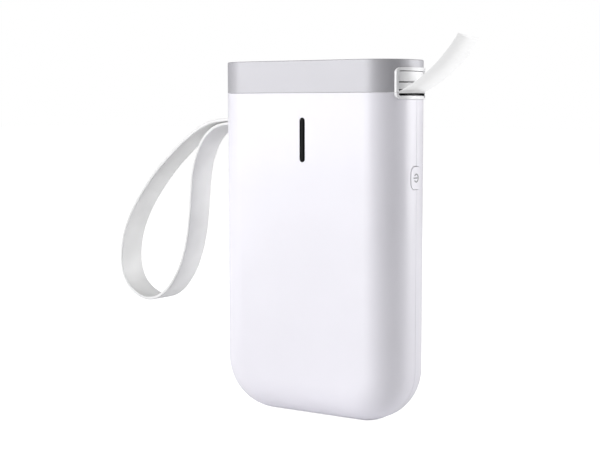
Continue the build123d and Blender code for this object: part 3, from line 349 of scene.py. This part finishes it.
# ---- making pieces ----------------------------------------------------------
def link_mesh(name, bm, smooth=True):
    """A new piece from a bmesh, already in its place."""
    mesh = bpy.data.meshes.new(name)
    bm.to_mesh(mesh)
    bm.free()
    for face in mesh.polygons:
        face.use_smooth = smooth
    piece = bpy.data.objects.new(name, mesh)
    bpy.context.scene.collection.objects.link(piece)
    return piece


def nurbs_points(name, route):
    """Points along the smooth line through a route of control points."""
    curve = bpy.data.curves.new(name, "CURVE")
    curve.dimensions = "3D"
    curve.resolution_u = 8
    spline = curve.splines.new("NURBS")
    spline.points.add(len(route) - 1)
    for point, place in zip(spline.points, route):
        point.co = (*place, 1.0)
    spline.order_u = 3
    spline.use_endpoint_u = True
    holder = bpy.data.objects.new(name, curve)
    bpy.context.scene.collection.objects.link(holder)
    bpy.context.view_layer.update()
    line = bpy.data.meshes.new_from_object(holder)
    points = [vertex.co.copy() for vertex in line.vertices]
    bpy.data.objects.remove(holder)
    bpy.data.meshes.remove(line)
    return points


def ribbon(rails):
    """A band between two rails: pairs of front and back points, pulled out run by run."""
    bm = bmesh.new()
    edge = bm.edges.new([bm.verts.new(point) for point in rails[0]])
    for front, back in rails[1:]:
        pulled = bmesh.ops.extrude_edge_only(bm, edges=[edge])["geom"]
        edge = next(item for item in pulled if isinstance(item, bmesh.types.BMEdge))
        near, far = sorted(edge.verts, key=lambda vertex: vertex.co.y)
        near.co = front
        far.co = back
    bmesh.ops.recalc_face_normals(bm, faces=bm.faces)
    return bm


def thicken(piece, thickness, edge):
    """A wall on both sides of a band, with its long edges rounded if there is an edge size."""
    solidify = piece.modifiers.new("Thickness", "SOLIDIFY")
    solidify.thickness = thickness
    solidify.offset = 0.0
    if edge > 0:
        bevel = piece.modifiers.new("Edge", "BEVEL")
        bevel.width = edge
        bevel.segments = 3
        bevel.limit_method = "ANGLE"
        bevel.angle_limit = math.radians(50)


# ---- operators --------------------------------------------------------------
class PRINTER_OT_stage(bpy.types.Operator):
    """Make the floor, the lights and the camera"""
    bl_idname = "printer.stage"
    bl_label = "Stage"

    def execute(self, context):
        stage = context.scene.printer_stage
        self.make_camera(context, stage.lens)
        self.make_floor(stage.floor)
        self.make_world(context)
        self.make_light("key_light", -33.0, 21.0, 1.1, (0.9, 0.9), stage.key_power)
        self.make_light("side_light", 130.0, 12.0, 0.9, (0.6, 0.9), stage.side_power)
        return {"FINISHED"}

    def make_camera(self, context, lens):
        data = bpy.data.cameras.new("camera")
        data.lens = lens
        data.sensor_width = 36.0
        data.shift_x, data.shift_y = CAMERA_SHIFT
        data.clip_start = 0.01
        camera = bpy.data.objects.new("camera", data)
        turn = math.radians(CAMERA_TURN)
        dip = math.radians(CAMERA_DIP)
        ahead = Vector((-math.sin(turn) * math.cos(dip), math.cos(turn) * math.cos(dip), -math.sin(dip)))
        camera.rotation_euler = ahead.to_track_quat("-Z", "Y").to_euler()
        camera.location = CAMERA_PLACE
        context.scene.collection.objects.link(camera)
        context.scene.camera = camera

    def make_floor(self, colour):
        bm = bmesh.new()
        bmesh.ops.create_grid(bm, x_segments=1, y_segments=1, size=6.0)
        floor = link_mesh("floor", bm, smooth=False)
        material, tree, bsdf, place = new_material("floor")
        cloud = noise(tree, place, 3.0)
        tinted(tree, bsdf, cloud, colour, 0.99, 1.0)
        bsdf.inputs["Roughness"].default_value = 0.9
        bsdf.inputs["Emission Color"].default_value = (1.0, 1.0, 1.0, 1.0)
        seen = tree.nodes.new("ShaderNodeLightPath")
        glow = spread(tree, seen.outputs["Is Camera Ray"], 0.0, SEEN_FLOOR)
        tree.links.new(glow, bsdf.inputs["Emission Strength"])
        dress(floor, material)

    def make_world(self, context):
        world = bpy.data.worlds.new("studio")
        world.use_nodes = True
        tree = world.node_tree
        background = tree.nodes["Background"]
        background.inputs["Color"].default_value = (1.0, 1.0, 1.0, 1.0)
        seen = tree.nodes.new("ShaderNodeLightPath")
        strength = spread(tree, seen.outputs["Is Camera Ray"], AMBIENT, SEEN_BACKGROUND)
        tree.links.new(strength, background.inputs["Strength"])
        context.scene.world = world
        context.scene.view_settings.view_transform = "Standard"

    def make_light(self, name, azimuth, rise, distance, size, power):
        """A soft box aimed at the printer: azimuth 0 is straight in front, 90 on the right."""
        turn, lift = math.radians(azimuth), math.radians(rise)
        aim = Vector(LIGHT_AIM)
        away = Vector((math.sin(turn) * math.cos(lift), -math.cos(turn) * math.cos(lift), math.sin(lift)))
        data = bpy.data.lights.new(name, "AREA")
        data.shape = "RECTANGLE"
        data.size, data.size_y = size
        data.energy = power
        light = bpy.data.objects.new(name, data)
        light.location = aim + away * distance
        light.rotation_euler = (-away).to_track_quat("-Z", "Y").to_euler()
        bpy.context.scene.collection.objects.link(light)


class PRINTER_OT_strap(bpy.types.Operator):
    """Make the flat wrist strap that hangs from its slot"""
    bl_idname = "printer.strap"
    bl_label = "Wrist strap"

    def execute(self, context):
        strap = context.scene.printer_strap
        points = nurbs_points("strap_line", [(x * MM, 0.0, z * MM) for x, z in STRAP_ROUTE])
        across = Vector((0, strap.width / 2, 0))
        rails = [(point - across, point + across) for point in points]
        band = link_mesh("wrist_strap", ribbon(rails))
        thicken(band, strap.thickness, strap.edge)
        dress(band, finish_of("strap_rubber"))
        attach(band, "housing")
        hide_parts("strap")
        return {"FINISHED"}


class PRINTER_OT_finishes(bpy.types.Operator):
    """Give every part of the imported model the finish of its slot"""
    bl_idname = "printer.finishes"
    bl_label = "Finishes"

    def execute(self, context):
        for entry in frame["record"]["subparts"]:
            dress(NODES[entry["node"]], finish_of(entry["material_slot"]))
        return {"FINISHED"}


class PRINTER_OT_label(bpy.types.Operator):
    """Make the strip of label paper that curls out of the slot"""
    bl_idname = "printer.label"
    bl_label = "Label strip"

    def execute(self, context):
        label = context.scene.printer_label
        inside, length = self.inner_path(label)
        half = label.width / 2
        rails = [(point - Vector((0, half, 0)), point + Vector((0, half, 0))) for point in inside]
        outside = label.curl * math.radians(label.curl_turn) + label.tail * math.radians(label.tail_turn)
        reach = outside / math.cos(math.radians(label.skew))
        steps, level_steps = 40, 2
        for index in range(-level_steps, steps + 1):
            along = reach * index / steps
            rails.append([self.curled(label, inside[-1], along, side) for side in (-half, half)])
        strip = link_mesh("label_paper", ribbon(rails))
        thicken(strip, label.thickness, 0.0)
        dress(strip, finish_of("paper"))
        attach(strip, "housing")
        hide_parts("label_strip")
        return {"FINISHED"}

    def curled(self, label, flat_end, along, across):
        """Place of a point of the flat strip once its free end curls about a skewed line."""
        skew = math.radians(label.skew)
        roll_line = Vector((math.sin(skew), math.cos(skew), 0))
        way = Vector((math.cos(skew), -math.sin(skew), 0))
        held = along * math.sin(skew) + across * math.cos(skew)
        free = along * math.cos(skew) - across * math.sin(skew)
        start = Vector((label.curl_start, 0, flat_end.z))
        first = label.curl * math.radians(label.curl_turn)
        if free <= 0:
            return start + held * roll_line + free * way
        bend = min(free, first) / label.curl
        run = label.curl * math.sin(bend)
        rise = label.curl * (1 - math.cos(bend))
        if free > first:
            more = bend + (free - first) / label.tail
            run += label.tail * (math.sin(more) - math.sin(bend))
            rise += label.tail * (math.cos(bend) - math.cos(more))
        return start + held * roll_line + run * way + rise * Vector((0, 0, 1))

    def inner_path(self, label):
        """Middle line inside the case: up beside the roll, over the rod and level to the curl."""
        rod_low, rod_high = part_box("guide_rod")
        roll_low, roll_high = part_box("label_roll")
        rod = Vector(((rod_low[0] + rod_high[0]) / 2, 0, (rod_low[2] + rod_high[2]) / 2))
        roll = Vector(((roll_low[0] + roll_high[0]) / 2, 0, (roll_low[2] + roll_high[2]) / 2))
        rod_track = (rod_high[2] - rod_low[2]) / 2 + ROD_GAP + label.thickness / 2
        roll_track = (roll_high[2] - roll_low[2]) / 2 + label.thickness
        span = rod - roll
        angle = math.atan2(span.z, span.x) + math.asin((rod_track + roll_track) / span.length)
        side = Vector((math.sin(angle), 0, -math.cos(angle)))
        points = [roll + side * roll_track, rod - side * rod_track]
        points.insert(1, (points[0] + points[1]) / 2)
        steps = 8
        for step in range(1, steps + 1):
            turned = angle * (1 - step / steps)
            points.append(rod + rod_track * Vector((-math.sin(turned), 0, math.cos(turned))))
        points.append(Vector((label.curl_start - LEVEL_RUN, 0, points[-1].z)))
        length = sum((b - a).length for a, b in zip(points, points[1:])) + LEVEL_RUN
        return points, length


class PRINTER_OT_roll(bpy.types.Operator):
    """Make the wound label roll with its layers showing on both ends"""
    bl_idname = "printer.roll"
    bl_label = "Label roll"

    def execute(self, context):
        low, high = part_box("label_roll")
        core_low, core_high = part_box("roll_core")
        centre = Vector(((low[0] + high[0]) / 2, 0, (low[2] + high[2]) / 2))
        outer = (high[2] - low[2]) / 2
        inner = (core_high[2] - core_low[2]) / 2
        half = (high[1] - low[1]) / 2
        bm = bmesh.new()
        profile = []
        for end in (-1, 1):
            rims = []
            for index in range(2 * LAYERS + 1):
                radius = inner + (outer - inner) * index / (2 * LAYERS)
                depth = half - (LAYER_STEP if index % 2 else 0.0)
                rims.append((radius, end * depth))
            profile += rims if end < 0 else rims[::-1]
        verts = [bm.verts.new(centre + Vector((radius, depth, 0))) for radius, depth in profile]
        edges = [bm.edges.new((a, b)) for a, b in zip(verts, verts[1:] + verts[:1])]
        bmesh.ops.spin(
            bm, geom=verts + edges, cent=centre, axis=(0, 1, 0), angle=2 * math.pi, steps=96,
            use_merge=True, use_duplicate=False,
        )
        bmesh.ops.remove_doubles(bm, verts=bm.verts, dist=1e-7)
        bmesh.ops.recalc_face_normals(bm, faces=bm.faces)
        roll = link_mesh("wound_labels", bm, smooth=False)
        # The wound labels share the paper's painted glow.
        dress(roll, finish_of("paper"))
        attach(roll, "label_reel")
        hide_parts("label_roll")
        return {"FINISHED"}


class PRINTER_OT_power_mark(bpy.types.Operator):
    """Make the plain power mark, an open ring with a bar, on the side button"""
    bl_idname = "printer.power_mark"
    bl_label = "Power mark"

    def execute(self, context):
        low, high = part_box("power_button")
        place = Vector((high[0], 0, (low[2] + high[2]) / 2))
        bm = bmesh.new()
        gap = math.radians(MARK_GAP)
        inner, outer = MARK_RING - MARK_STROKE / 2, MARK_RING + MARK_STROKE / 2
        section = [(inner, -MARK_RISE), (outer, -MARK_RISE), (outer, MARK_RISE), (inner, MARK_RISE)]
        start = Matrix.Rotation(gap, 3, "X") @ Vector((0, -1, 0))
        verts = [bm.verts.new(start * radius + Vector((height, 0, 0))) for radius, height in section]
        face = bm.faces.new(verts)
        bmesh.ops.spin(
            bm, geom=[face], cent=(0, 0, 0), axis=(1, 0, 0), angle=2 * math.pi - 2 * gap, steps=40,
            use_merge=False,
        )
        size = Matrix.Diagonal((2 * MARK_RISE, MARK_BAR, MARK_STROKE, 1.0))
        bmesh.ops.create_cube(bm, size=1.0, matrix=Matrix.Translation((0, MARK_BAR_Y, 0)) @ size)
        bmesh.ops.recalc_face_normals(bm, faces=bm.faces)
        bmesh.ops.translate(bm, verts=bm.verts, vec=place)
        mark = link_mesh("power_mark", bm, smooth=False)
        case = context.scene.printer_case
        dress(mark, moulded_plastic("mark_ink", case.mark, 0.5, 1500.0, 0.05))
        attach(mark, "power")
        return {"FINISHED"}


class PRINTER_PT_pieces(bpy.types.Panel):
    """Lists the printer's makers and their sizes"""
    bl_label = "Pocket label printer"
    bl_idname = "PRINTER_PT_pieces"
    bl_space_type = "VIEW_3D"
    bl_region_type = "UI"
    bl_category = "Printer"

    def draw(self, context):
        for operator in OPERATORS:
            self.layout.operator(operator.bl_idname)
        for name, group in SETTINGS.items():
            box = self.layout.box()
            box.label(text=name.replace("_", " "))
            for entry in group.__annotations__:
                box.prop(getattr(context.scene, name), entry)


OPERATORS = (
    PRINTER_OT_stage,
    PRINTER_OT_strap,
    PRINTER_OT_label,
    PRINTER_OT_roll,
    PRINTER_OT_power_mark,
    PRINTER_OT_finishes,
)


def register():
    for group in SETTINGS.values():
        bpy.utils.register_class(group)
    for name, group in SETTINGS.items():
        setattr(bpy.types.Scene, name, bpy.props.PointerProperty(type=group))
    for operator in OPERATORS:
        bpy.utils.register_class(operator)
    bpy.utils.register_class(PRINTER_PT_pieces)


def unregister():
    bpy.utils.unregister_class(PRINTER_PT_pieces)
    for operator in reversed(OPERATORS):
        bpy.utils.unregister_class(operator)
    for name, group in SETTINGS.items():
        delattr(bpy.types.Scene, name)
        bpy.utils.unregister_class(group)


def main():
    register()
    for operator in OPERATORS:
        group, name = operator.bl_idname.split(".")
        getattr(getattr(bpy.ops, group), name)()


if __name__ == "__main__":
    main()
